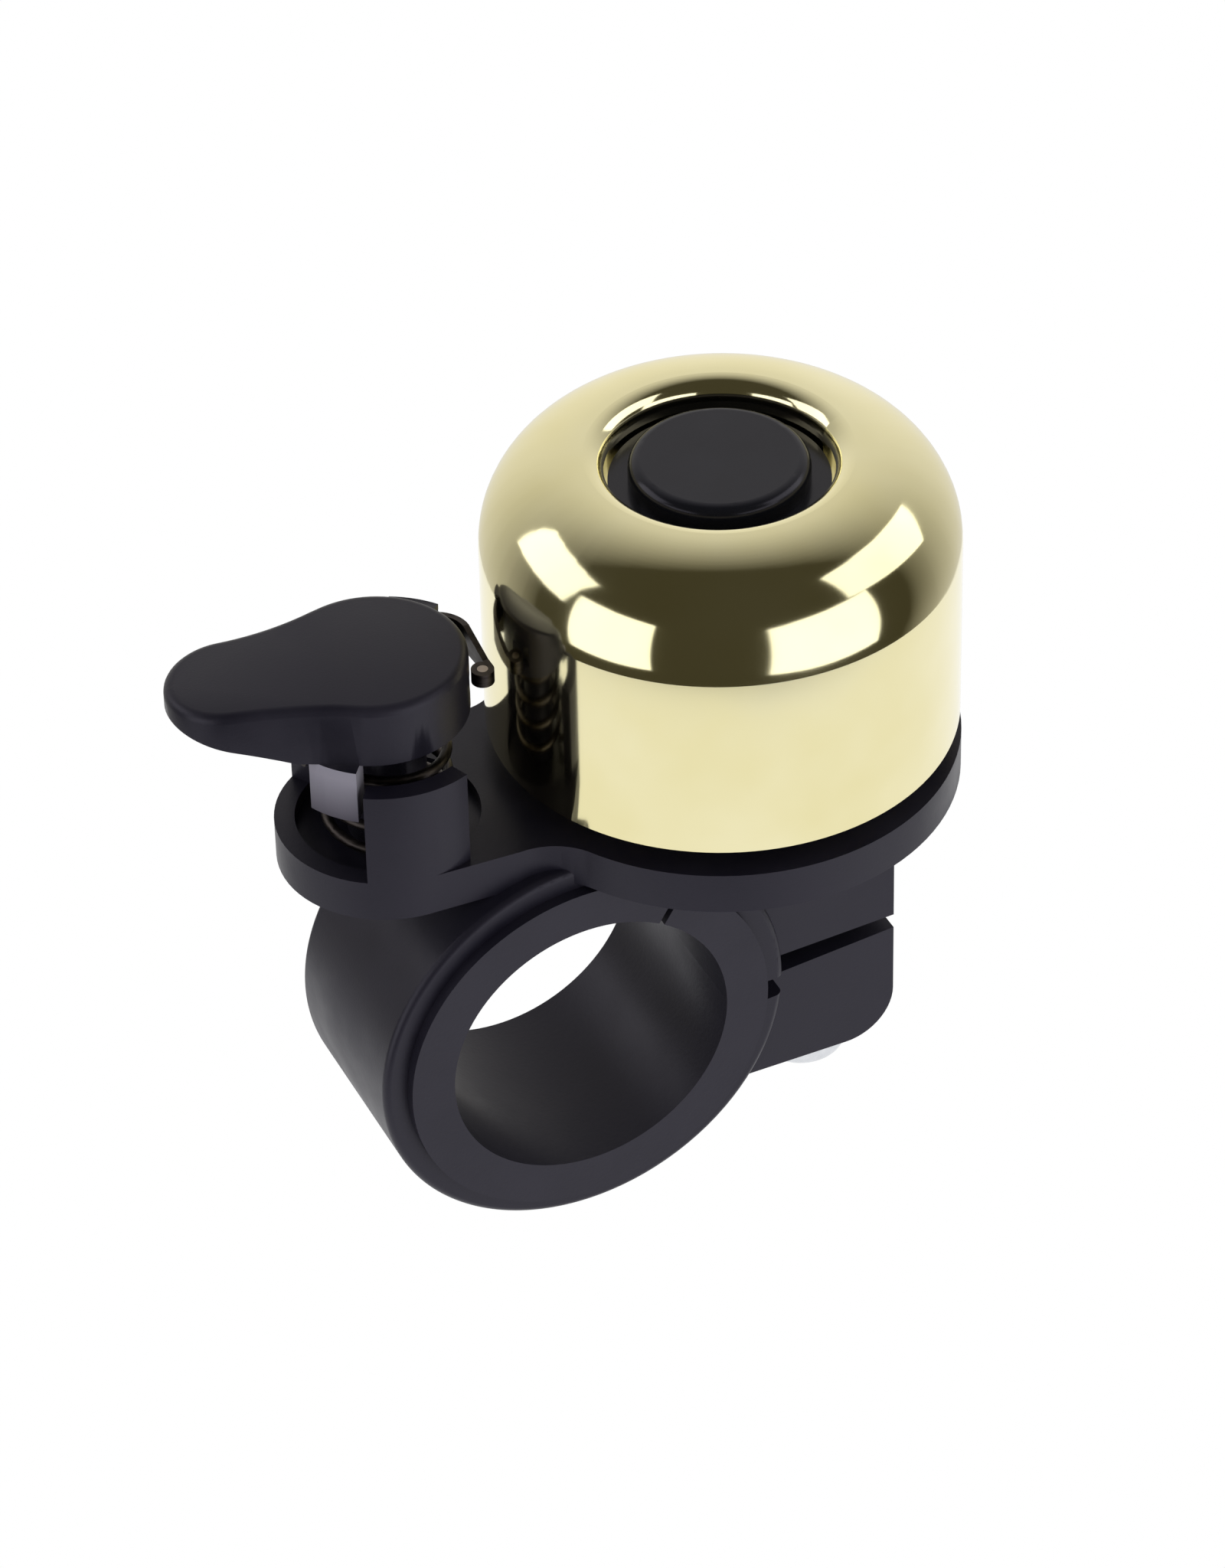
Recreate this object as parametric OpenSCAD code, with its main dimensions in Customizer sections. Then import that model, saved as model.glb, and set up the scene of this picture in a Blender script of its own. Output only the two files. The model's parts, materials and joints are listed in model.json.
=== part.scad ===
// Handlebar bell with a sprung thumb lever, in millimetres.
// Origin: centre of the handlebar bore. +Y runs along the bar, +Z up through the bell,
// +X across the bar from the lever to the bell.

/* [Handlebar clamp] */
// Outside diameter of the handlebar that the clamp grips
bar_d = 22.2; // [19:0.1:28]
// Wall of the rubber liner between the bar and the band
liner_t = 3.4; // [2:0.1:4.5]
// Width of the slit that lets the liner open over the bar
liner_slit_w = 0.5; // [0.4:0.1:2]
// Angle of that slit round the bar, up from the ear side
liner_slit_a = 58; // [40:1:80]
// Wall of the clamp band
band_t = 1.8; // [1.4:0.1:2.5]
// Width of the band along the bar
band_w = 15.3; // [13:0.1:20]
// How far the liner stands out of the band at each end
liner_out = 0.9; // [0.3:0.1:1.2]
// Rounding of the band's two outer edges
band_round = 0.6; // [0.3:0.1:1.2]
// Width of the clamping ears along the bar
ear_w = 11; // [10:0.5:13]
// Reach of the ears past the band
ear_reach = 10.3; // [9:0.1:13]
// Depth of the lower ear below the bar's axis
ear_drop = 10.9; // [9:0.1:13]
// Radius of the lower ear's outer corner
ear_corner_r = 4; // [2:0.5:6]
// Height of the clamping slot at its outer end
slot_outer = 1.2; // [0.8:0.1:1.6]
// Height of the clamping slot where it meets the liner
slot_inner = 1.8; // [1.5:0.1:3]
// How far the slot's outer end lies below the bar's axis
slot_drop_outer = 0.3; // [0:0.1:1]
// How far the slot's inner end lies below the bar's axis
slot_drop_inner = 1.2; // [0:0.1:2]

/* [Clamp screw and nut] */
// Thread diameter of the clamp screw
clamp_screw_d = 4; // [3:0.5:5]
// Diameter of the clamp screw's pan head
clamp_head_d = 7; // [6:0.1:8.4]
// Height of that head
clamp_head_h = 2.6; // [1.5:0.1:3]
// Diameter of the washer under the head
clamp_washer_d = 8; // [7.2:0.1:9]
// Thickness of that washer
clamp_washer_t = 1; // [0.5:0.1:1.2]
// Width across flats of the captive hexagon nut
nut_af = 7; // [5.5:0.1:8]
// Thickness of the nut
nut_t = 3.2; // [2.4:0.1:4]
// Height of the nut above the bar's axis
nut_z = 3; // [2.5:0.1:4]
// Length of screw left above the nut
screw_spare = 2; // [1:0.1:3]

/* [Base plate] */
// Thickness of the base plate
plate_t = 3.35; // [3:0.05:4.5]
// How far the band's crown sinks into the base plate
plate_sink = 1.25; // [0.8:0.05:1.6]
// Radius that the base plate has past the bell's wall
plate_margin = 0.1; // [0:0.1:1.5]
// Distance from the bell's axis line to the neck's near edge
neck_near = 6.8; // [6:0.1:8]
// Distance from that line to the neck's far edge
neck_far = 10.2; // [9:0.1:11]
// Radius of the hollow corner between neck and bell disc, on the near side
neck_fillet_near = 5; // [4:0.5:10]
// The same radius on the far side
neck_fillet_far = 4; // [2:0.5:6]

/* [Bell] */
// Outside diameter of the bell
bell_d = 35; // [29:0.5:42]
// Height of the bell from its rim to its crown
bell_h = 22.7; // [18.5:0.1:28]
// Radius of the bell's shoulder
shoulder_r = 7.7; // [6:0.1:8.2]
// Wall of the bell
bell_t = 1.2; // [0.8:0.1:1.5]
// Depth of the dimple in the crown
dimple_depth = 3.2; // [2.6:0.1:4]
// Inner radius of the rolled crest round the dimple
crest_inner_r = 0.3; // [0.2:0.1:0.8]
// Open gap between the bell's rim and the base plate
rim_gap = 2.1; // [1:0.1:3]
// Distance of the bell's axis from the bar's axis
bell_x = 15.3; // [12:0.1:17]
// Offset of the bell's axis along the bar
bell_y = 0.4; // [-1:0.1:1]

/* [Bell fixing] */
// Diameter of the post that carries the bell
post_d = 8; // [7:0.1:9]
// Diameter of the spigot pressed into the base plate
spigot_d = 5; // [4:0.1:5.5]
// Length of that spigot
spigot_l = 5.5; // [4:0.1:6]
// Thread diameter of the screw in the top of the post
bell_screw_d = 4; // [3:0.5:4]
// Length of the screw below its head
bell_screw_l = 9; // [7:0.5:12]
// Diameter of the screw's flat head
bell_head_d = 7.4; // [6:0.1:8]
// Height of that head
bell_head_h = 1.1; // [0.9:0.1:1.2]
// Diameter of the damping washer under the bell
damper_d = 10; // [8.5:0.1:12]
// Thickness of that washer
damper_t = 0.8; // [0.5:0.1:1.2]
// Diameter of the seat washer on the bell, which the cap snaps over
seat_d = 10; // [9:0.1:10.4]
// Thickness of the seat washer
seat_t = 0.5; // [0.4:0.1:0.8]
// Outside diameter of the snap-on cap
cap_d = 13.2; // [12:0.1:14]
// Height of the cap above the dimple's floor
cap_h = 2.8; // [2.4:0.1:3.2]
// Radius of the cap's rounded rim
cap_round = 0.9; // [0.4:0.1:1]
// Thickness of the cap's flange, which covers the dimple's floor
flange_t = 0.9; // [0.5:0.1:1.2]
// Gap between that flange and the dimple's wall
flange_clear = 0.25; // [0.15:0.05:0.5]

/* [Lever housing] */
// Outer radius of the lobe and of the two housing walls
housing_r = 8.3; // [8:0.1:9]
// Thickness of the housing walls and of the lobe's rim
housing_t = 1.5; // [1.2:0.1:1.6]
// Height of the housing walls above the base plate
housing_h = 7.8; // [7:0.1:10]
// Half the angle of the opening that faces away from the bell
open_half_a = 56; // [48:0.5:60]
// Half the angle of the opening that faces the bell
bell_side_half_a = 68; // [50:1:75]
// Depth of the recess inside the lobe's rim
floor_recess = 1; // [0.5:0.1:1.2]
// Offset of the lever's pivot from the bell's axis, along the bar
pivot_offset_y = 1.8; // [0:0.1:2.5]

/* [Lever] */
// Radius of the lever's round hub
hub_r = 6.9; // [6.2:0.1:7.1]
// How far the hub's centre lies off the pivot, away from the bell
hub_back = 0.4; // [0.3:0.1:1]
// How far the hub's centre lies off the pivot, along the bar
hub_side = 0.5; // [0:0.1:1]
// Height of the hub
hub_h = 5; // [4:0.1:6.5]
// Gap between the housing walls and the hub above them
hub_gap = 1.7; // [1:0.1:2.5]
// Radius of the thumb tip
tip_r = 4.6; // [4:0.1:5.5]
// Distance of the thumb tip's centre from the pivot
tip_reach = 11; // [8:0.1:13]
// Direction of the thumb tip round the pivot
tip_a = 165; // [155:1:180]
// Radius of the hollow flank on the near side of the lever
flank_near_r = 40; // [30:1:80]
// Radius of the hollow flank on its far side
flank_far_r = 18; // [12:1:80]
// Thickness of the lever at its tip
tip_t = 1.7; // [1.4:0.1:3]
// How far the top face falls towards the tip
tip_drop = 0.75; // [0.2:0.05:1.2]
// Diameter of the lever's spring arbor
arbor_d = 6; // [5:0.1:6.4]
// Diameter of the lever's journal in the base plate
journal_d = 4.4; // [4:0.1:4.8]
// Angular width of the stop tab
tab_a = 29; // [25:1:38]
// Height of the stop tab below the hub
tab_h = 4.4; // [4:0.1:6]
// Radial thickness of the stop tab
tab_t = 1.9; // [1.2:0.1:2]
// Thread diameter of the screw that holds the lever down
pivot_screw_d = 2; // [1.6:0.1:2.4]
// Diameter of that screw's head
pivot_head_d = 4.2; // [3.4:0.1:4.4]
// Height of that screw's head
pivot_head_h = 1; // [0.7:0.1:1.2]
// Diameter of the washer under that head
pivot_washer_d = 6.2; // [5.4:0.1:6.4]
// Thickness of that washer
pivot_washer_t = 0.4; // [0.3:0.05:0.5]

/* [Return spring] */
// Wire diameter of the torsion spring
wire_d = 0.8; // [0.6:0.1:0.9]
// Mean diameter of its coil
coil_d = 9; // [8:0.1:9.4]
// Number of whole turns in the coil
coil_turns = 4; // [3:1:5]

/* [Hammer] */
// Distance from the pivot to the hammer's striking face
hammer_reach = 8; // [7.8:0.05:8.2]
// Gap between the hammer at rest and the bell
strike_gap = 0.7; // [0.6:0.05:1]
// Thickness of the hammer's spring strip
strip_t = 0.45; // [0.3:0.05:0.5]
// Height of the strip at its root
strip_h = 2.2; // [1.8:0.1:2.8]
// Height of the strip at its rolled eye
eye_h = 1.1; // [0.8:0.1:1.8]
// Outer radius of the eye rolled at the end of the strip
eye_r = 0.85; // [0.8:0.05:1]
// Bend radius where the strip turns into the hub
strip_bend_r = 2.5; // [2:0.1:3]
// Angle of that bend
strip_bend_a = 60; // [55:1:65]
// Length of the strip held in the hub's slot
strip_root_l = 2; // [1.6:0.1:2.4]

/* [Fits] */
// Radial clearance of the lever's journal in its bearing
journal_clear = 0.05; // [0.02:0.01:0.1]
// End float of the lever
end_float = 0.1; // [0.05:0.05:0.2]
// Clearance of the spring strip in the hub's slot, each side
strip_clear = 0.15; // [0.12:0.01:0.2]
// Radial clearance of the clamp screw in the ears
screw_clear = 0.25; // [0.15:0.05:0.4]
// Clearance of the captive nut in its pocket, each side
nut_clear = 0.1; // [0.05:0.05:0.2]
// Clearance between parts that pass each other
pass_clear = 0.3; // [0.25:0.05:0.5]

/* [Hidden] */
$fn = 96;
eps = 0.01;

// screw heads, as shares of the head's height and diameter
head_round = 0.45;
cross_depth = 0.5;
cross_width = 0.55;
screw_end_gap = 0.5;
head_proud = 0.1;
head_room = 0.1;

// clamp
bar_r = bar_d / 2;
liner_r = bar_r + liner_t;
band_r = liner_r + band_t;
ear_end = band_r + ear_reach;
ear_bottom = -ear_drop;
clamp_screw_x = band_r + ear_reach / 2;
screw_top = nut_z + nut_t + screw_spare;

// plate
plate_bottom = band_r - plate_sink;
plate_top = plate_bottom + plate_t;
bell_r = bell_d / 2;
disc_r = bell_r + plate_margin;
blend_bite = 0.02;
saddle_gap = 1.2;
saddle_foot = bar_r * 0.75;

// bell, heights measured from its rim
rim_z = plate_top + rim_gap;
wall_h = bell_h - shoulder_r;
crest_r = bell_t + crest_inner_r;
crest_x = bell_r - shoulder_r;
dimple_r = crest_x - crest_r;
floor_h = bell_h - dimple_depth;
floor_z = rim_z + floor_h;
damper_z = floor_z - bell_t - damper_t;

// lever pivot
tab_wall_a = 4;
tab_lap = 0.9;
top_level = 0.6;
pivot_screw_l = 6;
pivot_x = bell_x - bell_r - strike_gap - hammer_reach;
pivot_y = bell_y + pivot_offset_y;
housing_top = plate_top + housing_h;
hub_bottom = housing_top + hub_gap;
lever_top = hub_bottom + hub_h;
lobe_floor = plate_top - floor_recess;
bearing_top = plate_top;
counterbore_h = pivot_washer_t + pivot_head_h + end_float - head_proud;
bearing_bottom = plate_bottom + counterbore_h;
wall_inner_r = housing_r - housing_t;
tab_end_a = 180 + open_half_a - tab_wall_a;
tab_r = wall_inner_r + tab_lap;

// return spring
coil_lift = 0.5;
leg_tab_a = 6;
foot_inset = 0.9;
wire_r = wire_d / 2;
coil_r = coil_d / 2;
coil_bottom = plate_top + wire_r + coil_lift;
coil_top = hub_bottom - wire_r - pass_clear;
leg_low_a = 255;
leg_high_a = tab_end_a - tab_a - leg_tab_a;
foot_r = wall_inner_r - foot_inset;
foot_depth = 1.2;
foot_tilt = 0.15;
foot_clear = 0.25;

// hammer, in a frame centred on the pivot
strip_drop = 1.8;
eye_drop = 1.4;
strip_x = hammer_reach - strip_t / 2;
eye_x = hammer_reach - eye_r;
eye_y = -pivot_offset_y;
bend_y = 2.4;
strip_top = lever_top - strip_drop;
strip_bottom = strip_top - strip_h;
eye_z = strip_top - eye_drop;
free_l = 0.6;
lug_r = hammer_reach + 0.3;
lug_from_a = 36;
lug_to_a = 62;
lug_cover = 0.6;
eye_room = 0.8;

// ---- shared shapes ----

// Flat wedge from angle a0 to a1, long enough to cut anything inside radius r
module wedge(r, a0, a1) {
    steps = max(1, ceil((a1 - a0) / 60));
    polygon(concat([[0, 0]],
        [for (i = [0 : steps]) let (a = a0 + (a1 - a0) * i / steps) 2 * r * [cos(a), sin(a)]]));
}

// Part of a ring between two radii and two angles
module ring_sector(r_in, r_out, a0, a1, h) {
    linear_extrude(height = h)
        intersection() {
            difference() {
                circle(r = r_out);
                circle(r = r_in);
            }
            wedge(r_out, a0, a1);
        }
}

// Flat washer, underside at z = 0
module washer(d_out, d_in, t) {
    difference() {
        cylinder(d = d_out, h = t);
        translate([0, 0, -1]) cylinder(d = d_in, h = t + 2);
    }
}

// Pan head with a cross recess, underside at z = 0 and top at z = h
module pan_head(d, h, cross) {
    r = h * head_round;
    difference() {
        rotate_extrude() {
            square([d / 2 - r, h]);
            square([d / 2, h - r]);
            translate([d / 2 - r, h - r]) circle(r = r);
        }
        translate([0, 0, h * (1 - cross_depth)])
            for (a = [0, 90])
                rotate([0, 0, a]) translate([-cross / 2, -cross / 10, 0]) cube([cross, cross / 5, h]);
    }
}

// Solid cylinder whose axis lies along the bar
module along_bar(r, w) {
    rotate([90, 0, 0]) cylinder(r = r, h = w, center = true);
}

// ---- clamp ----

// One side of the neck, seen from the bell's axis: a straight edge that leaves the lobe at a
// tangent, then a hollow corner of radius r that runs into the bell disc. lobe is the lobe's
// centre and edge the distance of the straight edge's end from the axis line.
module neck_side(lobe, edge, r) {
    corner = [-sqrt(pow(disc_r + r, 2) - pow(edge + r, 2)), edge];
    reach = corner - lobe;
    touch_a = atan2(reach[1], reach[0]) + acos(housing_r / norm(reach));
    on_disc = disc_r / (disc_r + r) * (corner + [0, r]);
    difference() {
        polygon([[0, 0], lobe, lobe + (housing_r - blend_bite) * [cos(touch_a), sin(touch_a)],
                 corner, on_disc]);
        translate(corner + [0, r - blend_bite]) circle(r = r);
    }
}

module plate_outline() {
    lobe_x = pivot_x - bell_x;
    translate([bell_x, bell_y]) {
        circle(r = disc_r);
        translate([lobe_x, pivot_offset_y]) circle(r = housing_r);
        neck_side([lobe_x, pivot_offset_y], neck_far, neck_fillet_far);
        mirror([0, 1]) neck_side([lobe_x, -pivot_offset_y], neck_near, neck_fillet_near);
    }
}

module housing_walls() {
    for (side = [0, 1])
        mirror([0, side, 0])
            ring_sector(wall_inner_r, housing_r, bell_side_half_a, 180 - open_half_a,
                        housing_top - lobe_floor);
}

// Band as a ring of revolution about the bar, with rounded outer edges
module band() {
    w = band_w / 2;
    rotate([90, 0, 0])
        rotate_extrude() {
            translate([bar_r, -w]) square([band_r - band_round - bar_r, 2 * w]);
            translate([bar_r, -w + band_round]) square([band_r - bar_r, 2 * (w - band_round)]);
            for (side = [-1, 1])
                translate([band_r - band_round, side * (w - band_round)]) circle(r = band_round);
        }
}

module ears() {
    rotate([90, 0, 0])
        linear_extrude(height = ear_w, center = true) {
            translate([bar_r, 0]) square([ear_end - bar_r, plate_bottom + plate_sink]);
            difference() {
                translate([bar_r, ear_bottom]) square([ear_end - bar_r, -ear_bottom]);
                translate([ear_end - ear_corner_r, ear_bottom]) square(ear_corner_r);
            }
            translate([ear_end - ear_corner_r, ear_bottom + ear_corner_r]) circle(r = ear_corner_r);
        }
}

// Block that joins the band's crown to the plate, between the pivot screw and the ears
module saddle() {
    from_x = pivot_x + pivot_washer_d / 2 + saddle_gap;
    translate([from_x, -ear_w / 2, saddle_foot])
        cube([bell_x - from_x, ear_w, plate_bottom + plate_sink - saddle_foot]);
}

module clamp_slot() {
    rotate([90, 0, 0])
        linear_extrude(height = band_w * 2, center = true)
            polygon([[liner_r - 1, -slot_drop_inner - slot_inner / 2],
                     [ear_end + 1, -slot_drop_outer - slot_outer / 2],
                     [ear_end + 1, -slot_drop_outer + slot_outer / 2],
                     [liner_r - 1, -slot_drop_inner + slot_inner / 2]]);
}

// Captive nut pocket with its loading mouth on the far face of the upper ear
module nut_pocket() {
    af = nut_af + 2 * nut_clear;
    translate([clamp_screw_x, 0, nut_z - nut_clear])
        linear_extrude(height = nut_t + 2 * nut_clear) {
            rotate(30) circle(d = af / cos(30), $fn = 6);
            translate([-af / 2, 0]) square([af, ear_w]);
        }
}

module bracket() {
    color([0.17, 0.165, 0.19])
    difference() {
        union() {
            translate([0, 0, plate_bottom]) linear_extrude(height = plate_t) plate_outline();
            band();
            difference() {
                union() {
                    ears();
                    saddle();
                }
                along_bar(liner_r + band_t / 2, band_w * 2);
            }
            translate([pivot_x, pivot_y, lobe_floor]) housing_walls();
        }
        along_bar(liner_r, band_w * 2);
        clamp_slot();
        nut_pocket();
        translate([clamp_screw_x, 0, ear_bottom - 1])
            cylinder(d = clamp_screw_d + 2 * screw_clear, h = screw_top + screw_end_gap - ear_bottom + 1);
        translate([bell_x, bell_y, plate_top - spigot_l]) cylinder(d = spigot_d, h = spigot_l + 1);
        translate([pivot_x, pivot_y, 0]) {
            // recess inside the lobe's rim, leaving a thrust boss in the middle
            translate([0, 0, lobe_floor])
                difference() {
                    cylinder(r = wall_inner_r, h = floor_recess + eps);
                    cylinder(d = arbor_d, h = floor_recess);
                }
            translate([0, 0, plate_bottom - 1]) {
                cylinder(d = journal_d + 2 * journal_clear, h = plate_t + 2);
                cylinder(d = pivot_washer_d + 2 * pass_clear, h = counterbore_h + 1);
            }
            // hole for the foot of the return spring
            rotate([0, 0, leg_low_a])
                translate([foot_r, 0, lobe_floor - foot_depth])
                    cylinder(d = wire_d + 2 * foot_clear, h = foot_depth + 1, $fn = 24);
        }
    }
}

module bar_liner() {
    color([0.2, 0.2, 0.22])
    difference() {
        along_bar(liner_r, band_w + 2 * liner_out);
        along_bar(bar_r, band_w * 2);
        rotate([0, -liner_slit_a, 0])
            translate([0, -band_w, -liner_slit_w / 2]) cube([liner_r + 1, 2 * band_w, liner_slit_w]);
    }
}

module clamp_washer() {
    color([0.75, 0.76, 0.78])
        translate([clamp_screw_x, 0, ear_bottom - clamp_washer_t])
            washer(clamp_washer_d, clamp_screw_d, clamp_washer_t);
}

module clamp_screw() {
    head_z = ear_bottom - clamp_washer_t;
    color([0.78, 0.79, 0.81])
    translate([clamp_screw_x, 0, head_z]) {
        cylinder(d = clamp_screw_d, h = screw_top - head_z);
        mirror([0, 0, 1]) pan_head(clamp_head_d, clamp_head_h, clamp_head_d * cross_width);
    }
}

module clamp_nut() {
    color([0.7, 0.71, 0.73])
    translate([clamp_screw_x, 0, nut_z])
        difference() {
            rotate([0, 0, 30]) cylinder(d = nut_af / cos(30), h = nut_t, $fn = 6);
            translate([0, 0, -1]) cylinder(d = clamp_screw_d, h = nut_t + 2);
        }
}

// ---- bell ----

module bell_post() {
    color([0.72, 0.73, 0.75])
    translate([bell_x, bell_y, 0])
        difference() {
            union() {
                translate([0, 0, plate_top]) cylinder(d = post_d, h = damper_z - plate_top);
                translate([0, 0, plate_top - spigot_l]) cylinder(d = spigot_d, h = spigot_l + eps);
            }
            translate([0, 0, damper_z - bell_screw_l]) cylinder(d = bell_screw_d, h = bell_screw_l + 1);
        }
}

module damping_washer() {
    color([0.12, 0.12, 0.12])
        translate([bell_x, bell_y, damper_z]) washer(damper_d, bell_screw_d, damper_t);
}

// Half section of the bell: wall, quarter-round shoulder, rolled crest and dimple
module bell_section() {
    difference() {
        union() {
            square([bell_r, wall_h]);
            intersection() {
                translate([crest_x, wall_h]) circle(r = shoulder_r);
                translate([crest_x, 0]) square([shoulder_r + 1, bell_h]);
            }
            translate([crest_x, bell_h - crest_r]) circle(r = crest_r);
            translate([dimple_r, 0]) square([crest_r, bell_h - crest_r]);
            square([dimple_r, floor_h]);
        }
        translate([0, -1]) square([bell_r - bell_t, wall_h + 1]);
        intersection() {
            translate([crest_x, wall_h]) circle(r = shoulder_r - bell_t);
            translate([crest_x, 0]) square([shoulder_r + 1, bell_h]);
        }
        translate([crest_x, bell_h - crest_r]) circle(r = crest_inner_r);
        translate([crest_x - crest_inner_r, 0]) square([crest_inner_r, bell_h - crest_r]);
        square([crest_x - crest_inner_r, floor_h - bell_t]);
        translate([-1, 0]) square([1 + bell_screw_d / 2, bell_h]);
    }
}

module bell_dome() {
    color([0.86, 0.78, 0.48])
        translate([bell_x, bell_y, rim_z]) rotate_extrude() bell_section();
}

module seat_washer() {
    color([0.74, 0.75, 0.77])
        translate([bell_x, bell_y, floor_z]) washer(seat_d, bell_screw_d, seat_t);
}

module bell_screw() {
    color([0.78, 0.79, 0.81])
    translate([bell_x, bell_y, floor_z + seat_t]) {
        pan_head(bell_head_d, bell_head_h, bell_head_d * cross_width);
        shank_l = floor_z + seat_t - damper_z + bell_screw_l - screw_end_gap;
        translate([0, 0, -shank_l]) cylinder(d = bell_screw_d, h = shank_l + eps);
    }
}

module bell_cap() {
    color([0.1, 0.1, 0.11])
    translate([bell_x, bell_y, floor_z])
        difference() {
            rotate_extrude() {
                square([cap_d / 2 - cap_round, cap_h]);
                square([cap_d / 2, cap_h - cap_round]);
                translate([cap_d / 2 - cap_round, cap_h - cap_round]) circle(r = cap_round);
                square([dimple_r - flange_clear, flange_t]);
            }
            translate([0, 0, -1]) cylinder(d = seat_d, h = seat_t + bell_head_h + head_room + 1);
        }
}

// ---- lever ----

// Plan of the lever about its pivot
module lever_outline() {
    hub = [-hub_back, hub_side];
    tip = tip_reach * [cos(tip_a), sin(tip_a)];
    span = norm(tip - hub);
    translate(hub) rotate([0, 0, atan2(tip[1] - hub[1], tip[0] - hub[0])]) {
        circle(r = hub_r);
        translate([span, 0]) circle(r = tip_r);
        lever_flank(span, flank_near_r);
        mirror([0, 1]) lever_flank(span, flank_far_r);
    }
}

// One side of the lever: a hollow arc of radius r that touches hub and tip
module lever_flank(span, r) {
    a = hub_r + r;
    b = tip_r + r;
    x = (a * a - b * b + span * span) / (2 * span);
    y = sqrt(a * a - x * x);
    difference() {
        polygon([[0, 0], hub_r / a * [x, y], [span, 0] + tip_r / b * [x - span, y], [span, 0]]);
        translate([x, y]) circle(r = r);
    }
}

// Side view of the lever along its own length: flat at the hub, thinning towards the tip
module lever_side() {
    far = tip_reach + tip_r;
    polygon([[-hub_r - 2, 0], [hub_r, 0], [far, hub_h - tip_drop - tip_t],
             [far, hub_h - tip_drop], [hub_r * top_level, hub_h], [-hub_r - 2, hub_h]]);
}

module lever_blade() {
    intersection() {
        linear_extrude(height = hub_h) lever_outline();
        rotate([0, 0, tip_a]) rotate([90, 0, 0])
            linear_extrude(height = 4 * hub_r, center = true) lever_side();
    }
}

// Lug on the hub that takes the root of the hammer strip
module hammer_lug() {
    intersection() {
        linear_extrude(height = hub_h) {
            intersection() {
                circle(r = lug_r);
                wedge(lug_r, lug_from_a, lug_to_a);
            }
        }
        cylinder(r = lug_r, h = strip_top + lug_cover - hub_bottom);
    }
}

// Centre line of the strip's root: where it leaves the bend, and its direction
root_x = strip_x - strip_bend_r + strip_bend_r * cos(strip_bend_a);
root_y = bend_y + strip_bend_r * sin(strip_bend_a);

module strip_root(extra, back, length) {
    translate([root_x, root_y]) rotate([0, 0, 90 + strip_bend_a])
        translate([-back, -strip_t / 2 - extra]) square([back + length, strip_t + 2 * extra]);
}

module lever() {
    color([0.16, 0.16, 0.18])
    translate([pivot_x, pivot_y, 0])
        difference() {
            union() {
                translate([0, 0, hub_bottom]) {
                    lever_blade();
                    hammer_lug();
                }
                translate([0, 0, bearing_top + end_float])
                    cylinder(d = arbor_d, h = hub_bottom - bearing_top);
                translate([0, 0, bearing_bottom - end_float])
                    cylinder(d = journal_d, h = hub_bottom - bearing_bottom);
                translate([0, 0, hub_bottom - tab_h])
                    ring_sector(tab_r - tab_t, tab_r, tab_end_a - tab_a, tab_end_a, tab_h + eps);
            }
            // slot for the root of the hammer strip
            translate([0, 0, strip_bottom - strip_clear])
                linear_extrude(height = strip_h + 2 * strip_clear)
                    strip_root(strip_clear, 1, free_l + strip_root_l + strip_clear);
            // room for the rolled eye beside the hub
            translate([eye_x, eye_y, eye_z - eye_h / 2 - pass_clear])
                cylinder(r = eye_r + eye_room, h = eye_h + 2 * pass_clear);
            translate([0, 0, bearing_bottom - end_float - 1]) cylinder(d = pivot_screw_d, h = pivot_screw_l + 1);
        }
}

module pivot_washer() {
    color([0.74, 0.75, 0.77])
        translate([pivot_x, pivot_y, bearing_bottom - end_float - pivot_washer_t])
            washer(pivot_washer_d, pivot_screw_d, pivot_washer_t);
}

module pivot_screw() {
    head_z = bearing_bottom - end_float - pivot_washer_t;
    color([0.78, 0.79, 0.81])
    translate([pivot_x, pivot_y, head_z]) {
        cylinder(d = pivot_screw_d, h = pivot_screw_l);
        mirror([0, 0, 1]) pan_head(pivot_head_d, pivot_head_h, pivot_head_d * cross_width);
    }
}

// ---- return spring ----

// Wire path: foot in the floor, lower leg, coil, upper leg
coil_steps = 20;
coil_sweep = 360 * coil_turns - (leg_high_a - leg_low_a);
function coil_point(i, n) =
    let (f = i / n, a = leg_low_a - coil_sweep * f)
    [coil_r * cos(a), coil_r * sin(a), coil_bottom + (coil_top - coil_bottom) * f];
function leg_point(r, a, z) = [r * cos(a), r * sin(a), z];

module torsion_spring() {
    n = coil_steps * coil_turns;
    path = concat([leg_point(foot_r + foot_tilt, leg_low_a, lobe_floor - foot_depth + 0.3),
                   leg_point(foot_r - foot_tilt, leg_low_a, coil_bottom)],
                  [for (i = [0 : n]) coil_point(i, n)],
                  [leg_point(tab_r, leg_high_a, coil_top)]);
    color([0.62, 0.62, 0.66])
        translate([pivot_x, pivot_y, 0]) wire(path, wire_r, 8);
}

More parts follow.
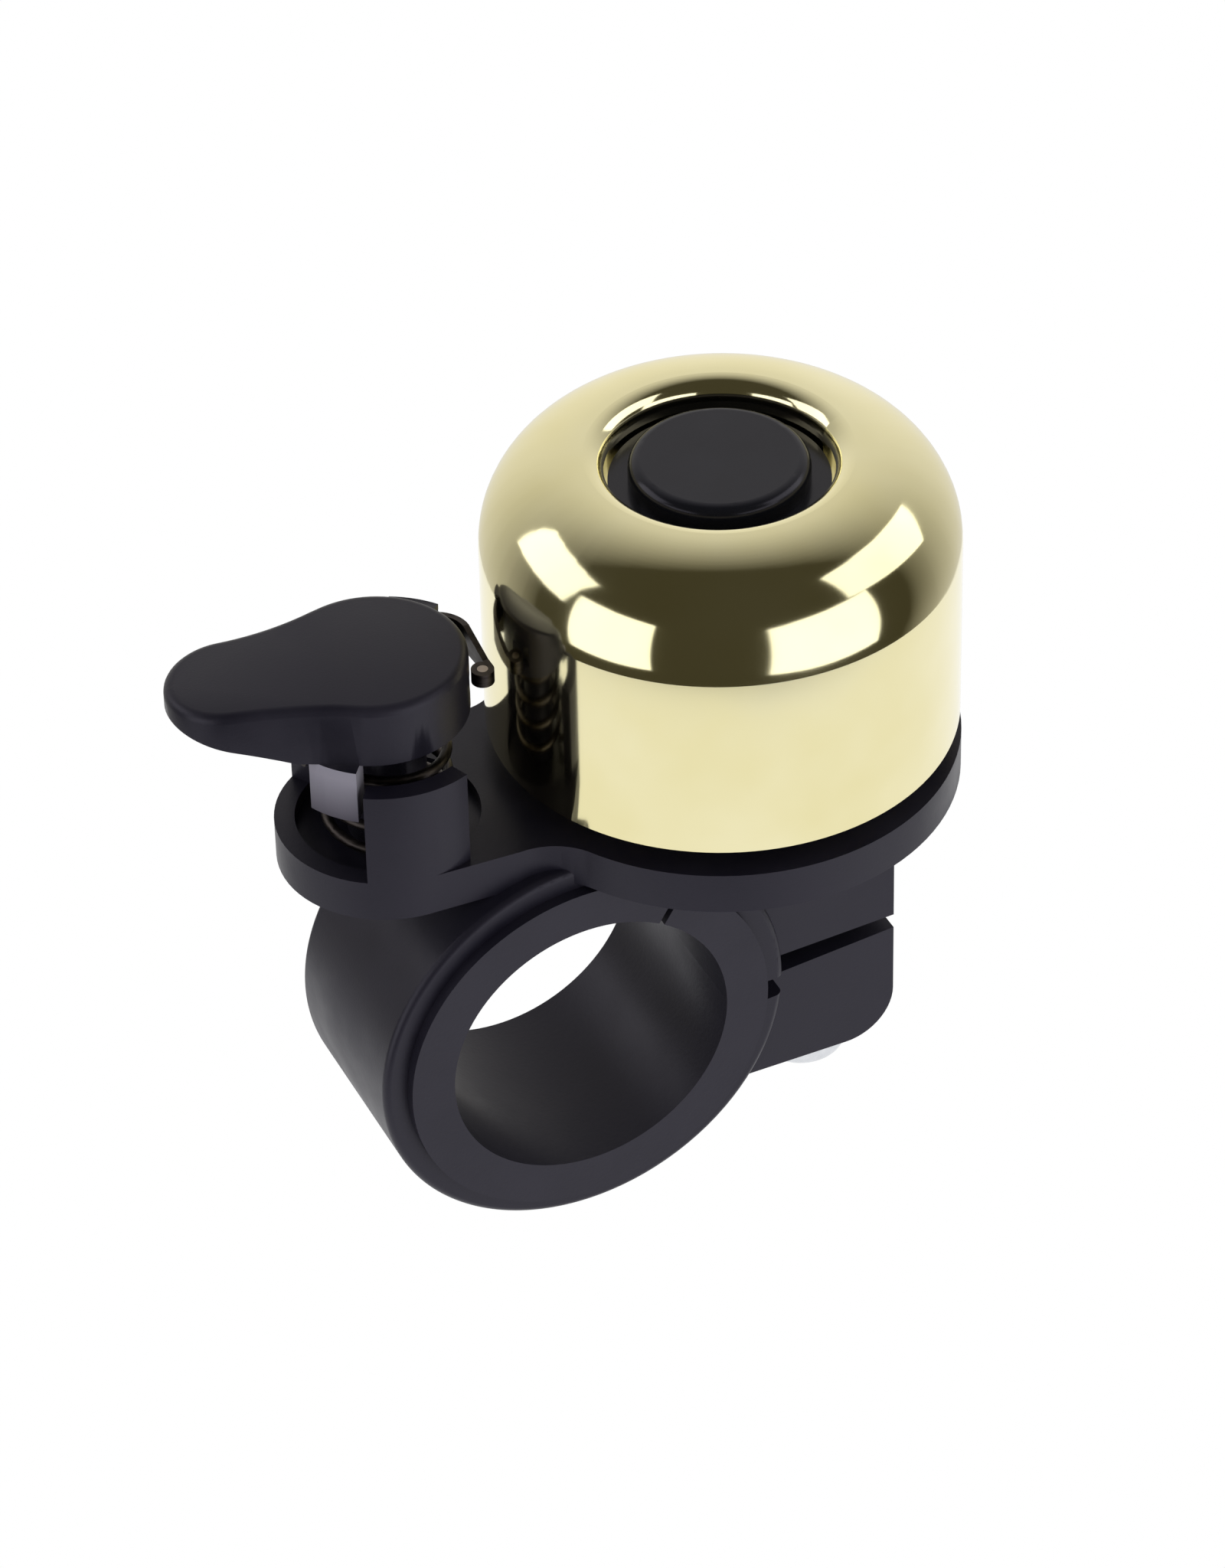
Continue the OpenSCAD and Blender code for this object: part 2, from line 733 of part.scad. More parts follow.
// Sweeps a round wire of radius r along the points of a path
function unit(v) = v / norm(v);
function direction(path, i) =
    unit(path[min(i + 1, len(path) - 1)] - path[max(i - 1, 0)]);
module wire(path, r, sides) {
    rings = [for (i = [0 : len(path) - 1])
        let (d = direction(path, i), u = unit(cross(d, [0, 0, 1])), v = cross(u, d))
        for (k = [0 : sides - 1]) path[i] + r * (cos(360 * k / sides) * u + sin(360 * k / sides) * v)];
    last = (len(path) - 1) * sides;
    polyhedron(points = rings, faces = concat(
        [[for (k = [0 : sides - 1]) k]],
        [for (i = [0 : len(path) - 2], k = [0 : sides - 1])
            [i * sides + (k + 1) % sides, i * sides + k,
             (i + 1) * sides + k, (i + 1) * sides + (k + 1) % sides]],
        [[for (k = [sides - 1 : -1 : 0]) last + k]]));
}

// ---- hammer ----

module hammer_profile() {
    // rolled eye
    translate([eye_x, eye_y]) difference() {
        circle(r = eye_r);
        circle(r = eye_r - strip_t);
    }
    // straight run past the bell
    translate([strip_x - strip_t / 2, eye_y]) square([strip_t, bend_y - eye_y]);
    // bend towards the hub
    translate([strip_x - strip_bend_r, bend_y])
        intersection() {
            difference() {
                circle(r = strip_bend_r + strip_t / 2);
                circle(r = strip_bend_r - strip_t / 2);
            }
            wedge(strip_bend_r + strip_t, 0, strip_bend_a);
        }
    strip_root(0, eps, free_l + strip_root_l);
}

// Front view of the strip: it tapers from its bend to the eye
module hammer_side() {
    polygon([[-20, eye_z - eye_h / 2], [eye_y + eye_r, eye_z - eye_h / 2], [bend_y, strip_bottom],
             [20, strip_bottom], [20, strip_top], [bend_y, strip_top],
             [eye_y + eye_r, eye_z + eye_h / 2], [-20, eye_z + eye_h / 2]]);
}

module hammer_strip() {
    color([0.35, 0.33, 0.32])
        translate([pivot_x, pivot_y, 0])
            intersection() {
                translate([0, 0, strip_bottom]) linear_extrude(height = strip_h) hammer_profile();
                rotate([90, 0, 90]) linear_extrude(height = 20, center = false) hammer_side();
            }
}

module hammer_pin() {
    color([0.55, 0.5, 0.48])
        translate([pivot_x + eye_x, pivot_y + eye_y, eye_z - eye_h / 2])
            cylinder(r = eye_r - strip_t, h = eye_h);
}

bracket();
bar_liner();
clamp_screw();
clamp_washer();
clamp_nut();
bell_post();
damping_washer();
bell_dome();
seat_washer();
bell_screw();
bell_cap();
torsion_spring();
lever();
pivot_washer();
pivot_screw();
hammer_strip();
hammer_pin();
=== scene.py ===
# %% [markdown]
# # A handlebar bell
# A brass bell on a black moulded clamp, rung by a sprung thumb lever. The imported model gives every
# part its place in metres. We keep the parts whose shape is already right, model finer pieces
# where soft edges and small details matter, and give each surface its own finish.

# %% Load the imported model
import json
from math import cos, hypot, pi, radians, sin, tan

import bmesh
import bpy
from mathutils import Matrix, Vector


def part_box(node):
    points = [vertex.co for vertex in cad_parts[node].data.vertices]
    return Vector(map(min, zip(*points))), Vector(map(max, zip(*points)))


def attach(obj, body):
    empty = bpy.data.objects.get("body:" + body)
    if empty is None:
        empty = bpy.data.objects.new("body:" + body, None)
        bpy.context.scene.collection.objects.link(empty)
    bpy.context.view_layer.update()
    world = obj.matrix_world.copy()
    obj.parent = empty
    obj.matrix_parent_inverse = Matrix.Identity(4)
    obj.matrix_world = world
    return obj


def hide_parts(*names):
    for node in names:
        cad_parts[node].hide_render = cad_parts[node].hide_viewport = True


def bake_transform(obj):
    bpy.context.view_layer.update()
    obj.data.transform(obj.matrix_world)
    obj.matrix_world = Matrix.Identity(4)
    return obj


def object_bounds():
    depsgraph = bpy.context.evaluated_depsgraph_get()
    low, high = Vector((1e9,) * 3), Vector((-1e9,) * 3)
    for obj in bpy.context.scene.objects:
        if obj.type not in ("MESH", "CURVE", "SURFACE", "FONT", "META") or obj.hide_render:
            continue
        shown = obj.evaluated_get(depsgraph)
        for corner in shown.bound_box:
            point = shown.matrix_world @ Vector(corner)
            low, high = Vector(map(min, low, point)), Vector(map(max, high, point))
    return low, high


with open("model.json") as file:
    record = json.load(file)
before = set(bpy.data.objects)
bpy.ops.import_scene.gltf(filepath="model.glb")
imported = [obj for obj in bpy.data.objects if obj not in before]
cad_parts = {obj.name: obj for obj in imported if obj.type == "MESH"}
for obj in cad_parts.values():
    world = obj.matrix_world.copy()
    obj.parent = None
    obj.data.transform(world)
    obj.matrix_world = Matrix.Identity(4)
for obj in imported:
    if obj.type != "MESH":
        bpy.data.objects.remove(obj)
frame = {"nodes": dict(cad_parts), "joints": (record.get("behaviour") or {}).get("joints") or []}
cad_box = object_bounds()
nodes = frame["nodes"]
print("parts:", len(nodes), "box:", cad_box)

# %% [markdown]
# The bell stands on its own axis, and the lever turns about another. Both are read from the
# model: the middle of the bell's box, and the lever joint's own position. The lever's hub hangs
# below its blade, and its lower end tells where the stop tab begins.

# %% Axes and levels
MM = 0.001
bell_low, bell_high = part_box("bell_dome")
bell_x = (bell_low.x + bell_high.x) / 2
bell_y = (bell_low.y + bell_high.y) / 2
bell_r = (bell_high.x - bell_low.x) / 2
joints = {joint["name"]: joint for joint in frame["joints"]}
pivot = Vector(joints["lever_turn"]["pos_m"])
lever_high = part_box("lever")[1]
hub_height = 5 * MM
hub_bottom = lever_high.z - hub_height
print("bell axis", round(bell_x, 5), round(bell_y, 5), "radius", round(bell_r, 5))
print("lever pivot", tuple(round(v, 5) for v in pivot), "top", round(lever_high.z, 5),
      "hub bottom", round(hub_bottom, 5))

# %% [markdown]
# Every new piece goes through the same last steps: double points are merged, the outside is made
# to face outwards, the mesh becomes an object at the origin, and it rides on the body that carries it.

# %% Helpers that finish a piece
same_point = 0.0001 * MM


def new_piece(name, mesh_tool, material):
    mesh = bpy.data.meshes.new(name)
    mesh_tool.to_mesh(mesh)
    mesh_tool.free()
    piece = bpy.data.objects.new(name, mesh)
    bpy.context.scene.collection.objects.link(piece)
    mesh.materials.append(material)
    for face in mesh.polygons:
        face.use_smooth = True
    return piece


def finish_piece(name, mesh_tool, body, material, sharp=35):
    bmesh.ops.remove_doubles(mesh_tool, verts=mesh_tool.verts, dist=same_point)
    bmesh.ops.recalc_face_normals(mesh_tool, faces=mesh_tool.faces)
    piece = new_piece(name, mesh_tool, material)
    piece.data.set_sharp_from_angle(angle=radians(sharp))
    if body:
        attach(piece, body)
    print(name, "faces", len(piece.data.polygons))
    return piece


print("helpers ready")

# %% [markdown]
# ## Finishes
# Black moulded plastic isn't flat black: it is a cool charcoal with a fine satin grain that breaks
# up its highlights. Two scales of noise do that. The broad one varies the gloss as handling does,
# and the fine one lifts the surface by a few hundredths of a millimetre through a bump node.

# %% Node helpers and the moulded plastic
def new_material(name):
    material = bpy.data.materials.new(name)
    material.use_nodes = True
    tree = material.node_tree
    tree.nodes.clear()
    out = tree.nodes.new("ShaderNodeOutputMaterial")
    shader = tree.nodes.new("ShaderNodeBsdfPrincipled")
    tree.links.new(shader.outputs["BSDF"], out.inputs["Surface"])
    return material, tree, shader


def add_noise(tree, scale, detail=4.0, rough=0.55):
    where = tree.nodes.new("ShaderNodeTexCoord")
    noise = tree.nodes.new("ShaderNodeTexNoise")
    noise.inputs["Scale"].default_value = scale
    noise.inputs["Detail"].default_value = detail
    noise.inputs["Roughness"].default_value = rough
    tree.links.new(where.outputs["Object"], noise.inputs["Vector"])
    return noise


def span(tree, source, low, high, start=0.35, end=0.65):
    scale = tree.nodes.new("ShaderNodeMapRange")
    scale.inputs["From Min"].default_value = start
    scale.inputs["From Max"].default_value = end
    scale.inputs["To Min"].default_value = low
    scale.inputs["To Max"].default_value = high
    tree.links.new(source, scale.inputs["Value"])
    return scale.outputs["Result"]


def two_tone(tree, source, dark, light, start=0.35, end=0.65):
    ramp = tree.nodes.new("ShaderNodeValToRGB")
    ramp.color_ramp.elements[0].position = start
    ramp.color_ramp.elements[0].color = (*dark, 1)
    ramp.color_ramp.elements[1].position = end
    ramp.color_ramp.elements[1].color = (*light, 1)
    tree.links.new(source, ramp.inputs["Fac"])
    return ramp.outputs["Color"]


def add_bump(tree, shader, source, strength, depth):
    """Lift the shading by up to `depth` metres where the source is bright."""
    bump = tree.nodes.new("ShaderNodeBump")
    bump.inputs["Strength"].default_value = strength
    bump.inputs["Distance"].default_value = depth
    tree.links.new(source, bump.inputs["Height"])
    tree.links.new(bump.outputs["Normal"], shader.inputs["Normal"])


def moulded_surface(name, gloss_low, gloss_high, grain=5200, depth=0.02 * MM):
    """The sheen and the grain of a moulding, and the slow noise that its colour may follow."""
    material, tree, shader = new_material(name)
    broad = add_noise(tree, scale=160)
    fine = add_noise(tree, scale=grain, detail=3, rough=0.6)
    gloss = span(tree, broad.outputs["Fac"], gloss_low, gloss_high)
    tree.links.new(gloss, shader.inputs["Roughness"])
    add_bump(tree, shader, fine.outputs["Fac"], strength=0.35, depth=depth)
    shader.inputs["Specular IOR Level"].default_value = 0.33
    shader.inputs["Specular Tint"].default_value = (0.88, 0.84, 1.0, 1)
    return material, tree, shader, broad.outputs["Fac"]


def moulded_plastic(name, dark, light, **surface):
    material, tree, shader, patches = moulded_surface(name, **surface)
    tree.links.new(two_tone(tree, patches, dark, light), shader.inputs["Base Color"])
    return material


bracket_plastic = moulded_plastic(
    "bracket_plastic", dark=(0.0085, 0.0078, 0.0140), light=(0.0120, 0.0110, 0.0185),
    gloss_low=0.36, gloss_high=0.46)
lever_plastic = moulded_plastic(
    "lever_plastic", dark=(0.0092, 0.0086, 0.0148), light=(0.0130, 0.0120, 0.0195),
    gloss_low=0.38, gloss_high=0.47)
print("plastics ready")

# %% [markdown]
# The liner is rubber, a touch paler than the bracket and with a coarser grain. The cap in the
# dimple is plastic polished in its mould, so it is blacker and glossy. The stop tab under the
# lever's hub has painted light in its colour: a painted highlight makes it much paler than the
# lever, and painted shade darkens it towards its foot.

# %% Rubber, cap plastic, and the tab's painted highlight and shade
liner_rubber = moulded_plastic(
    "liner_rubber", dark=(0.0095, 0.0088, 0.0150), light=(0.0135, 0.0125, 0.0200),
    gloss_low=0.33, gloss_high=0.42, grain=3000, depth=0.03 * MM)
cap_plastic = moulded_plastic(
    "cap_plastic", dark=(0.0045, 0.0048, 0.0070), light=(0.0075, 0.0080, 0.0110),
    gloss_low=0.16, gloss_high=0.24, grain=2600, depth=0.006 * MM)


def paint_tab_highlight_and_shade(name, foot, crown):
    """Painted light on the tab: a painted highlight where it meets the hub, painted shade at its foot.
    """
    material, tree, shader, _ = moulded_surface(name, gloss_low=0.4, gloss_high=0.5)
    where = tree.nodes.new("ShaderNodeTexCoord")
    split = tree.nodes.new("ShaderNodeSeparateXYZ")
    tree.links.new(where.outputs["Object"], split.inputs["Vector"])
    height = span(tree, split.outputs["Z"], low=0, high=1, start=foot, end=crown)
    shade = two_tone(tree, height, dark=(0.055, 0.05, 0.066), light=(0.23, 0.22, 0.26), start=0, end=1)
    tree.links.new(shade, shader.inputs["Base Color"])
    return material


# The tab's colour is painted light: a painted highlight at tab_crown fades to painted shade at
# tab_foot.
tab_foot = hub_bottom - 4.4 * MM
tab_crown = hub_bottom - 0.8 * MM
tab_painted_light = paint_tab_highlight_and_shade("tab_painted_light", tab_foot, tab_crown)
print("rubber, cap and tab ready")

# %% [markdown]
# The dome is polished brass under clear lacquer. Polishing leaves rings of very fine marks round
# the axis, so a wave texture in rings, centred on the bell by a Mapping node, drives a tiny bump.
# A slow noise tints the metal between a pale and a deeper gold.

# %% Polished brass
def ring_marks(tree, centre, scale, distortion=0.6):
    where = tree.nodes.new("ShaderNodeTexCoord")
    shift = tree.nodes.new("ShaderNodeMapping")
    shift.inputs["Location"].default_value = (-centre[0], -centre[1], 0)
    wave = tree.nodes.new("ShaderNodeTexWave")
    wave.wave_type = "RINGS"
    wave.rings_direction = "Z"
    wave.inputs["Scale"].default_value = scale
    wave.inputs["Distortion"].default_value = distortion
    wave.inputs["Detail"].default_value = 2
    tree.links.new(where.outputs["Object"], shift.inputs["Vector"])
    tree.links.new(shift.outputs["Vector"], wave.inputs["Vector"])
    return wave


def polished_brass(name, dark, light, gloss_low, gloss_high):
    material, tree, shader = new_material(name)
    slow = add_noise(tree, scale=60, detail=3)
    marks = ring_marks(tree, (bell_x, bell_y), scale=900)
    tree.links.new(two_tone(tree, slow.outputs["Fac"], dark, light), shader.inputs["Base Color"])
    tree.links.new(span(tree, slow.outputs["Fac"], gloss_low, gloss_high), shader.inputs["Roughness"])
    add_bump(tree, shader, marks.outputs["Fac"], strength=0.05, depth=0.004 * MM)
    shader.inputs["Metallic"].default_value = 1
    return material


dome_brass = polished_brass(
    "dome_brass", dark=(0.82, 0.75, 0.43), light=(0.88, 0.82, 0.53), gloss_low=0.07, gloss_high=0.11)
print("brass ready")

# %% [markdown]
# The small steel parts come in three finishes: bright zinc plate on the fasteners, dark oiled
# spring steel on the spring and the hammer strip, and a dull grey on the hammer's pin. Noise
# squeezed along one axis gives the drawn wire and the rolled strip their faint streaks.

# %% Zinc plate, spring steel and pin steel
def steel(name, dark, light, gloss_low, gloss_high, stretch=(1, 1, 1), scale=700):
    material, tree, shader = new_material(name)
    where = tree.nodes.new("ShaderNodeTexCoord")
    shift = tree.nodes.new("ShaderNodeMapping")
    shift.inputs["Scale"].default_value = stretch
    noise = tree.nodes.new("ShaderNodeTexNoise")
    noise.inputs["Scale"].default_value = scale
    noise.inputs["Detail"].default_value = 4
    tree.links.new(where.outputs["Object"], shift.inputs["Vector"])
    tree.links.new(shift.outputs["Vector"], noise.inputs["Vector"])
    tree.links.new(two_tone(tree, noise.outputs["Fac"], dark, light), shader.inputs["Base Color"])
    tree.links.new(span(tree, noise.outputs["Fac"], gloss_low, gloss_high), shader.inputs["Roughness"])
    add_bump(tree, shader, noise.outputs["Fac"], strength=0.15, depth=0.008 * MM)
    shader.inputs["Metallic"].default_value = 1
    return material


zinc_plate = steel(
    "zinc_plate", dark=(0.62, 0.64, 0.67), light=(0.76, 0.77, 0.80), gloss_low=0.22, gloss_high=0.34)
spring_steel = steel(
    "spring_steel", dark=(0.035, 0.030, 0.030), light=(0.075, 0.064, 0.060),
    gloss_low=0.36, gloss_high=0.48, stretch=(1, 1, 6), scale=900)
pin_steel = steel(
    "pin_steel", dark=(0.30, 0.25, 0.23), light=(0.42, 0.36, 0.33), gloss_low=0.3, gloss_high=0.4)
print("steels ready")

# %% [markdown]
# ## Finishes on the imported parts
# Most imported parts already have the right shape, so each only takes its material. The bracket, the
# lever and the spring are modelled again below, with softer edges or as a round wire.

# %% Dress the imported parts
def dress(name, material):
    mesh = nodes[name].data
    mesh.materials.clear()
    mesh.materials.append(material)


finishes = {
    "bracket": bracket_plastic, "bar_liner": liner_rubber, "clamp_screw": zinc_plate,
    "clamp_washer": zinc_plate, "clamp_nut": zinc_plate, "bell_post": zinc_plate,
    "damping_washer": liner_rubber, "bell_dome": dome_brass, "seat_washer": dome_brass,
    "bell_screw": zinc_plate, "bell_cap": cap_plastic, "torsion_spring": spring_steel,
    "lever": lever_plastic, "pivot_washer": zinc_plate, "pivot_screw": zinc_plate,
    "hammer_strip": spring_steel, "hammer_pin": pin_steel,
}
for name, material in finishes.items():
    dress(name, material)
print("dressed", len(finishes))

# %% [markdown]
# ## Soft edges
# Moulded plastic never has a razor edge. A copy of the CAD part is merged into one skin, its flat
# faces are dissolved into large ones, and a Bevel modifier rolls every hard edge over a small
# radius. A Weighted Normal modifier then lets the large faces lead the shading, so it stays even
# right up to the rolled edges. The copy stands in for the part.

# %% Helpers that round the edges of a merged copy
def merged_copy(node):
    mesh_tool = bmesh.new()
    mesh_tool.from_mesh(nodes[node].data)
    bmesh.ops.remove_doubles(mesh_tool, verts=mesh_tool.verts, dist=2 * same_point)
    bmesh.ops.dissolve_limit(mesh_tool, angle_limit=radians(0.6), verts=mesh_tool.verts,
                             edges=mesh_tool.edges, use_dissolve_boundaries=False)
    return mesh_tool


def rounded_copy(node, name, body, material, radius, segments=3, angle=32):
    piece = new_piece(name, merged_copy(node), material)
    bevel = piece.modifiers.new("rounded edges", "BEVEL")
    bevel.width = radius
    bevel.segments = segments
    bevel.limit_method = "ANGLE"
    bevel.angle_limit = radians(angle)
    bevel.use_clamp_overlap = True
    evened = piece.modifiers.new("even shading", "WEIGHTED_NORMAL")
    evened.mode = "FACE_AREA_WITH_ANGLE"
    evened.weight = 80
    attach(piece, body)
    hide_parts(node)
    print(name, "faces before bevel", len(piece.data.polygons))
    return piece


moulded_edge = 0.3 * MM
bracket_body = rounded_copy("bracket", "bracket_body", "base", bracket_plastic,
                            radius=moulded_edge)

# %% [markdown]
# ## The thumb lever
# A thumb rests on the lever, so its upper edge is rolled over far more than the others. Here only
# the edges of the top outline are picked, by the level and the turn between their two faces, and
# the bevel operator rounds them. The stop tab's faces, below the hub and away from the pivot,
# take the material with the painted highlight and painted shade.

# %% The rounded lever
thumb_edge = 0.85 * MM
tip_fall = 1.05 * MM
tab_gap = 0.1 * MM
tab_reach = 5 * MM
sharp_turn = radians(50)
nearly_level = 0.95
not_downward = -0.2


def on_top_outline(edge):
    if len(edge.link_faces) != 2 or edge.calc_face_angle() < sharp_turn:
        return False
    ups = [face.normal.z for face in edge.link_faces]
    lowest = min(vert.co.z for vert in edge.verts)
    return max(ups) > nearly_level and min(ups) > not_downward and lowest > lever_high.z - tip_fall


def lever_copy(edge_radius):
    mesh_tool = merged_copy("lever")
    rolled = [edge for edge in mesh_tool.edges if on_top_outline(edge)]
    bmesh.ops.bevel(mesh_tool, geom=rolled, offset=edge_radius, offset_type="OFFSET", segments=5,
                    profile=0.5, affect="EDGES", material=-1, clamp_overlap=True)
    # Faces of the stop tab take material 1, the tab's painted highlight and painted shade.
    for face in mesh_tool.faces:
        middle = face.calc_center_median()
        reach = hypot(middle.x - pivot.x, middle.y - pivot.y)
        face.material_index = int(middle.z < hub_bottom - tab_gap and reach > tab_reach)
    print("rolled edges", len(rolled))
    return mesh_tool


lever_body = finish_piece("lever_body", lever_copy(thumb_edge), "lever", lever_plastic,
                          sharp=28)
# The second material paints a highlight and shade onto the stop tab.
lever_body.data.materials.append(tab_painted_light)
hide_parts("lever")

# %% [markdown]
# ## The return spring
# A torsion spring's coil winds up as the lever turns: its foot stays in the base and its upper leg
# goes with the lever. The round wire here is a curve with a bevel, made a mesh, and it is attached
# to neither body.

# %% The wound wire
spring_low, spring_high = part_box("torsion_spring")
wire_r = 0.4 * MM
coil_r = 4.5 * MM
coil_turns = 4
coil_low = spring_low.z + 1.8 * MM
coil_high = spring_high.z - wire_r
foot_angle = 255
foot_tip_r = 6.0 * MM
foot_bend_r = 5.7 * MM
foot_lift = 0.1 * MM
leg_angle = 197
leg_r = 7.6 * MM
steps_per_turn = 40


def around_pivot(reach, angle, z):
    turn = radians(angle)
    return Vector((pivot.x + reach * cos(turn), pivot.y + reach * sin(turn), z))


def coil_path():
    sweep = 360 * coil_turns - (leg_angle - foot_angle)
    steps = steps_per_turn * coil_turns
    path = [around_pivot(foot_tip_r, foot_angle, spring_low.z + foot_lift),
            around_pivot(foot_bend_r, foot_angle, coil_low)]
    for i in range(steps + 1):
        angle = foot_angle - sweep * i / steps
        path.append(around_pivot(coil_r, angle, coil_low + (coil_high - coil_low) * i / steps))
    path.append(around_pivot(leg_r, leg_angle, coil_high))
    return path


def wire_mesh(name, points, radius, resolution=4):
    curve = bpy.data.curves.new(name + "_path", "CURVE")
    curve.dimensions = "3D"
    curve.bevel_depth = radius
    curve.bevel_resolution = resolution
    curve.use_fill_caps = True
    spline = curve.splines.new("POLY")
    spline.points.add(len(points) - 1)
    for point, place in zip(spline.points, points):
        point.co = (*place, 1)
    holder = bpy.data.objects.new(name + "_path", curve)
    made = bpy.data.meshes.new_from_object(holder)
    bpy.data.objects.remove(holder)
    mesh_tool = bmesh.new()
    mesh_tool.from_mesh(made)
    bpy.data.meshes.remove(made)
    return mesh_tool


wire = wire_mesh("spring_wire", coil_path(), wire_r)
spring_wire = finish_piece("spring_wire", wire, None, spring_steel, sharp=60)
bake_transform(spring_wire)
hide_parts("torsion_spring")
print("coil from", round(coil_low, 5), "to", round(coil_high, 5))

# %% [markdown]
# ## Light, floor and camera
# The bell is lit by large soft panels in a white room. The polished dome shows whatever stands
# round it, so the panels' shapes are as important as their brightness: they are what it reflects.
# The camera stands about half a metre off with a long lens, and looks down over the lever.

# %% Camera
def unit_direction(azimuth, elevation):
    a, e = radians(azimuth), radians(elevation)
    return Vector((sin(a) * cos(e), -cos(a) * cos(e), sin(e)))


lens_length = 150.66
sensor_height = 36
target = Vector((7.80, 3.79, 13.02)) * MM
distance = 487.5 * MM
roll = radians(-1.45)
back = Vector((-0.3228, -0.7095, 0.6264)).normalized()
flat_right = Vector((0, 0, 1)).cross(back).normalized()
flat_up = back.cross(flat_right)
right = cos(roll) * flat_right + sin(roll) * flat_up
up = -sin(roll) * flat_right + cos(roll) * flat_up
camera_data = bpy.data.cameras.new("camera")
camera = bpy.data.objects.new("camera", camera_data)
bpy.context.scene.collection.objects.link(camera)
camera.matrix_world = Matrix((
    (right.x, up.x, back.x, target.x + back.x * distance),
    (right.y, up.y, back.y, target.y + back.y * distance),
    (right.z, up.z, back.z, target.z + back.z * distance),
    (0, 0, 0, 1)))
camera_data.sensor_fit = "VERTICAL"
camera_data.sensor_height = sensor_height
camera_data.lens = lens_length
camera_data.clip_start = 0.01
camera_data.clip_end = 10
bpy.context.scene.camera = camera
print("camera at", tuple(round(v, 4) for v in camera.location), "lens", round(camera_data.lens, 1))

# %% [markdown]
# The background is pure white to the camera, but gives the object only a moderate light. The
# Light Path node tells the two apart: camera, transmission and glossy rays see the bright side of
# a mix, and all others the moderate light. What polished metal sees is the studio itself: a white
# table round the bell, and above the table's edge dim walls, in which only the softboxes shine.
# The room grows paler towards its far wall. So the floor is a disc of the table's size, and the
# world in reflections runs from dim in front to pale behind.

# %% World and floor
def seen_directly(tree):
    path = tree.nodes.new("ShaderNodeLightPath")
    most = tree.nodes.new("ShaderNodeMath")
    most.operation = "MAXIMUM"
    tree.links.new(path.outputs["Is Camera Ray"], most.inputs[0])
    tree.links.new(path.outputs["Is Transmission Ray"], most.inputs[1])
    either = tree.nodes.new("ShaderNodeMath")
    either.operation = "MAXIMUM"
    tree.links.new(most.outputs["Value"], either.inputs[0])
    tree.links.new(path.outputs["Is Glossy Ray"], either.inputs[1])
    return either.outputs["Value"]


far_wall = (0.407, 0.914, 0)
near_tone = (0.055, 0.050, 0.032)
far_tone = (0.95, 0.93, 0.88)
world = bpy.data.worlds.new("room")
bpy.context.scene.world = world
world.use_nodes = True
room = world.node_tree
room.nodes.clear()
room_out = room.nodes.new("ShaderNodeOutputWorld")
plain = room.nodes.new("ShaderNodeBackground")
plain.inputs["Color"].default_value = (0.80, 0.80, 0.82, 1)
plain.inputs["Strength"].default_value = 0.55
white = room.nodes.new("ShaderNodeBackground")
white.inputs["Strength"].default_value = 1
heading = room.nodes.new("ShaderNodeTexCoord")
toward_back = room.nodes.new("ShaderNodeVectorMath")
toward_back.operation = "DOT_PRODUCT"
toward_back.inputs[1].default_value = far_wall
room.links.new(heading.outputs["Generated"], toward_back.inputs[0])
walls = two_tone(room, toward_back.outputs["Value"], near_tone, far_tone, start=-0.12, end=1)
glossy = room.nodes.new("ShaderNodeLightPath").outputs["Is Glossy Ray"]
shown = room.nodes.new("ShaderNodeMix")
shown.data_type = "RGBA"
room.links.new(glossy, shown.inputs["Factor"])
shown.inputs["A"].default_value = (1, 1, 1, 1)
room.links.new(walls, shown.inputs["B"])
room.links.new(shown.outputs["Result"], white.inputs["Color"])
choose = room.nodes.new("ShaderNodeMixShader")
room.links.new(seen_directly(room), choose.inputs["Fac"])
room.links.new(plain.outputs["Background"], choose.inputs[1])
room.links.new(white.outputs["Background"], choose.inputs[2])
room.links.new(choose.outputs["Shader"], room_out.inputs["Surface"])

